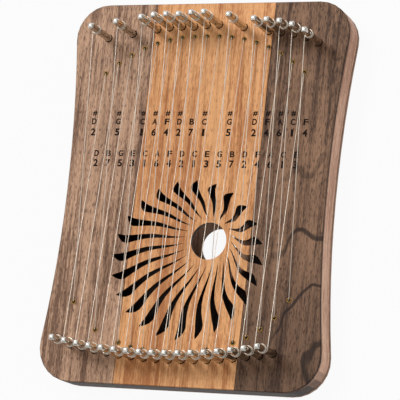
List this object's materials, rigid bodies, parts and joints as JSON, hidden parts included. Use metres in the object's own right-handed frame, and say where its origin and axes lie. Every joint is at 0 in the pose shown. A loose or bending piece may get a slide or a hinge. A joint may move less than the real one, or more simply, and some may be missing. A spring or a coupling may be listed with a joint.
{
  "type": "lyre harp",
  "caption": "Flat wooden box lyre with crossing sets of steel strings, a sun-ray rosette round its sound hole and tuning pins along both ends.",
  "frame": {"origin": "middle of the back face, on the surface that the harp lies on", "axes": "+Z out of the face, +Y towards the upper edge, +X to the right seen from the front"},
  "size_m": [0.1994, 0.2614, 0.0515],
  "materials": {
    "walnut_left": "satin, straight greyish brown grain",
    "cherry": "satin, orange tan with fine streaks",
    "walnut_right": "satin, dark curved veins",
    "walnut_side": "satin, bent walnut",
    "walnut_back": "satin",
    "spruce": "raw",
    "maple": "raw",
    "nickel": "bright nickel plate",
    "steel_wire": "plain drawn wire",
    "brass": "polished"
  },
  "bodies": {
    "root": {"front_board_left": "walnut_left", "front_board_centre": "cherry", "front_board_right": "walnut_right", "back_board": "walnut_back", "rim_left": "walnut_side", "rim_right": "walnut_side", "pin_block_top": "maple", "pin_block_bottom": "maple", "front_brace": "spruce", "back_brace": "spruce", "string_natural_01_02": "steel_wire", "string_natural_03_04": "steel_wire", "string_natural_05_06": "steel_wire", "string_natural_07_08": "steel_wire", "string_natural_09_10": "steel_wire", "string_natural_11_12": "steel_wire", "string_natural_13_14": "steel_wire", "string_natural_15_16": "steel_wire", "string_natural_17": "steel_wire", "string_accidental_01_02": "steel_wire", "string_accidental_03_04": "steel_wire", "string_accidental_05_06": "steel_wire", "string_accidental_07_08": "steel_wire", "string_accidental_09_10": "steel_wire", "string_accidental_11_12": "steel_wire", "string_accidental_13_14": "steel_wire"},
    "pin_lower_01_body": {"pin_lower_01": "nickel"},
    "pin_lower_02_body": {"pin_lower_02": "nickel"},
    "pin_lower_03_body": {"pin_lower_03": "nickel"},
    "pin_lower_04_body": {"pin_lower_04": "nickel"},
    "pin_lower_05_body": {"pin_lower_05": "nickel"},
    "pin_lower_06_body": {"pin_lower_06": "nickel"},
    "pin_lower_07_body": {"pin_lower_07": "nickel"},
    "pin_lower_08_body": {"pin_lower_08": "nickel"},
    "pin_lower_09_body": {"pin_lower_09": "nickel"},
    "pin_lower_10_body": {"pin_lower_10": "nickel"},
    "pin_lower_11_body": {"pin_lower_11": "nickel"},
    "pin_lower_12_body": {"pin_lower_12": "nickel"},
    "pin_lower_13_body": {"pin_lower_13": "nickel"},
    "pin_lower_14_body": {"pin_lower_14": "nickel"},
    "pin_lower_15_body": {"pin_lower_15": "nickel"},
    "pin_lower_16_body": {"pin_lower_16": "nickel"},
    "pin_lower_17_body": {"pin_lower_17": "nickel"},
    "pin_upper_01_body": {"pin_upper_01": "nickel"},
    "pin_upper_02_body": {"pin_upper_02": "nickel"},
    "pin_upper_03_body": {"pin_upper_03": "nickel"},
    "pin_upper_04_body": {"pin_upper_04": "nickel"},
    "pin_upper_05_body": {"pin_upper_05": "nickel"},
    "pin_upper_06_body": {"pin_upper_06": "nickel"},
    "pin_upper_07_body": {"pin_upper_07": "nickel"},
    "pin_upper_08_body": {"pin_upper_08": "nickel"},
    "pin_upper_09_body": {"pin_upper_09": "nickel"},
    "pin_upper_10_body": {"pin_upper_10": "nickel"},
    "pin_upper_11_body": {"pin_upper_11": "nickel"},
    "pin_upper_12_body": {"pin_upper_12": "nickel"},
    "pin_upper_13_body": {"pin_upper_13": "nickel"},
    "pin_upper_14_body": {"pin_upper_14": "nickel"}
  },
  "joints": [
    {"name": "turn_lower_01", "type": "hinge", "parent": "root", "child": "pin_lower_01_body", "pos_m": [-0.07705, -0.1057, 0.021], "axis": [0, 0, 1], "continuous": true},
    {"name": "turn_lower_02", "type": "hinge", "parent": "root", "child": "pin_lower_02_body", "pos_m": [-0.06806, -0.10734, 0.021], "axis": [0, 0, 1], "continuous": true},
    {"name": "turn_lower_03", "type": "hinge", "parent": "root", "child": "pin_lower_03_body", "pos_m": [-0.05906, -0.10876, 0.021], "axis": [0, 0, 1], "continuous": true},
    {"name": "turn_lower_04", "type": "hinge", "parent": "root", "child": "pin_lower_04_body", "pos_m": [-0.05006, -0.10997, 0.021], "axis": [0, 0, 1], "continuous": true},
    {"name": "turn_lower_05", "type": "hinge", "parent": "root", "child": "pin_lower_05_body", "pos_m": [-0.04106, -0.11095, 0.021], "axis": [0, 0, 1], "continuous": true},
    {"name": "turn_lower_06", "type": "hinge", "parent": "root", "child": "pin_lower_06_body", "pos_m": [-0.03206, -0.11172, 0.021], "axis": [0, 0, 1], "continuous": true},
    {"name": "turn_lower_07", "type": "hinge", "parent": "root", "child": "pin_lower_07_body", "pos_m": [-0.02305, -0.11226, 0.021], "axis": [0, 0, 1], "continuous": true},
    {"name": "turn_lower_08", "type": "hinge", "parent": "root", "child": "pin_lower_08_body", "pos_m": [-0.01405, -0.11259, 0.021], "axis": [0, 0, 1], "continuous": true},
    {"name": "turn_lower_09", "type": "hinge", "parent": "root", "child": "pin_lower_09_body", "pos_m": [-0.00505, -0.1127, 0.021], "axis": [0, 0, 1], "continuous": true},
    {"name": "turn_lower_10", "type": "hinge", "parent": "root", "child": "pin_lower_10_body", "pos_m": [0.00394, -0.11259, 0.021], "axis": [0, 0, 1], "continuous": true},
    {"name": "turn_lower_11", "type": "hinge", "parent": "root", "child": "pin_lower_11_body", "pos_m": [0.01294, -0.11226, 0.021], "axis": [0, 0, 1], "continuous": true},
    {"name": "turn_lower_12", "type": "hinge", "parent": "root", "child": "pin_lower_12_body", "pos_m": [0.02194, -0.11172, 0.021], "axis": [0, 0, 1], "continuous": true},
    {"name": "turn_lower_13", "type": "hinge", "parent": "root", "child": "pin_lower_13_body", "pos_m": [0.03095, -0.11095, 0.021], "axis": [0, 0, 1], "continuous": true},
    {"name": "turn_lower_14", "type": "hinge", "parent": "root", "child": "pin_lower_14_body", "pos_m": [0.03995, -0.10997, 0.021], "axis": [0, 0, 1], "continuous": true},
    {"name": "turn_lower_15", "type": "hinge", "parent": "root", "child": "pin_lower_15_body", "pos_m": [0.04895, -0.10876, 0.021], "axis": [0, 0, 1], "continuous": true},
    {"name": "turn_lower_16", "type": "hinge", "parent": "root", "child": "pin_lower_16_body", "pos_m": [0.05795, -0.10734, 0.021], "axis": [0, 0, 1], "continuous": true},
    {"name": "turn_lower_17", "type": "hinge", "parent": "root", "child": "pin_lower_17_body", "pos_m": [0.06695, -0.1057, 0.021], "axis": [0, 0, 1], "continuous": true},
    {"name": "turn_upper_01", "type": "hinge", "parent": "root", "child": "pin_upper_01_body", "pos_m": [-0.07484, 0.1069, 0.021], "axis": [0, 0, 1], "continuous": true},
    {"name": "turn_upper_02", "type": "hinge", "parent": "root", "child": "pin_upper_02_body", "pos_m": [-0.05684, 0.1098, 0.021], "axis": [0, 0, 1], "continuous": true},
    {"name": "turn_upper_03", "type": "hinge", "parent": "root", "child": "pin_upper_03_body", "pos_m": [-0.03884, 0.1127, 0.021], "axis": [0, 0, 1], "continuous": true},
    {"name": "turn_upper_04", "type": "hinge", "parent": "root", "child": "pin_upper_04_body", "pos_m": [-0.02985, 0.1141, 0.021], "axis": [0, 0, 1], "continuous": true},
    {"name": "turn_upper_05", "type": "hinge", "parent": "root", "child": "pin_upper_05_body", "pos_m": [-0.02084, 0.1145, 0.021], "axis": [0, 0, 1], "continuous": true},
    {"name": "turn_upper_06", "type": "hinge", "parent": "root", "child": "pin_upper_06_body", "pos_m": [-0.01184, 0.1143, 0.021], "axis": [0, 0, 1], "continuous": true},
    {"name": "turn_upper_07", "type": "hinge", "parent": "root", "child": "pin_upper_07_body", "pos_m": [-0.00284, 0.1152, 0.021], "axis": [0, 0, 1], "continuous": true},
    {"name": "turn_upper_08", "type": "hinge", "parent": "root", "child": "pin_upper_08_body", "pos_m": [0.00615, 0.1156, 0.021], "axis": [0, 0, 1], "continuous": true},
    {"name": "turn_upper_09", "type": "hinge", "parent": "root", "child": "pin_upper_09_body", "pos_m": [0.02415, 0.1135, 0.021], "axis": [0, 0, 1], "continuous": true},
    {"name": "turn_upper_10", "type": "hinge", "parent": "root", "child": "pin_upper_10_body", "pos_m": [0.04215, 0.1105, 0.021], "axis": [0, 0, 1], "continuous": true},
    {"name": "turn_upper_11", "type": "hinge", "parent": "root", "child": "pin_upper_11_body", "pos_m": [0.05115, 0.1096, 0.021], "axis": [0, 0, 1], "continuous": true},
    {"name": "turn_upper_12", "type": "hinge", "parent": "root", "child": "pin_upper_12_body", "pos_m": [0.06016, 0.1085, 0.021], "axis": [0, 0, 1], "continuous": true},
    {"name": "turn_upper_13", "type": "hinge", "parent": "root", "child": "pin_upper_13_body", "pos_m": [0.06915, 0.1061, 0.021], "axis": [0, 0, 1], "continuous": true},
    {"name": "turn_upper_14", "type": "hinge", "parent": "root", "child": "pin_upper_14_body", "pos_m": [0.07816, 0.1022, 0.021], "axis": [0, 0, 1], "continuous": true}
  ]
}
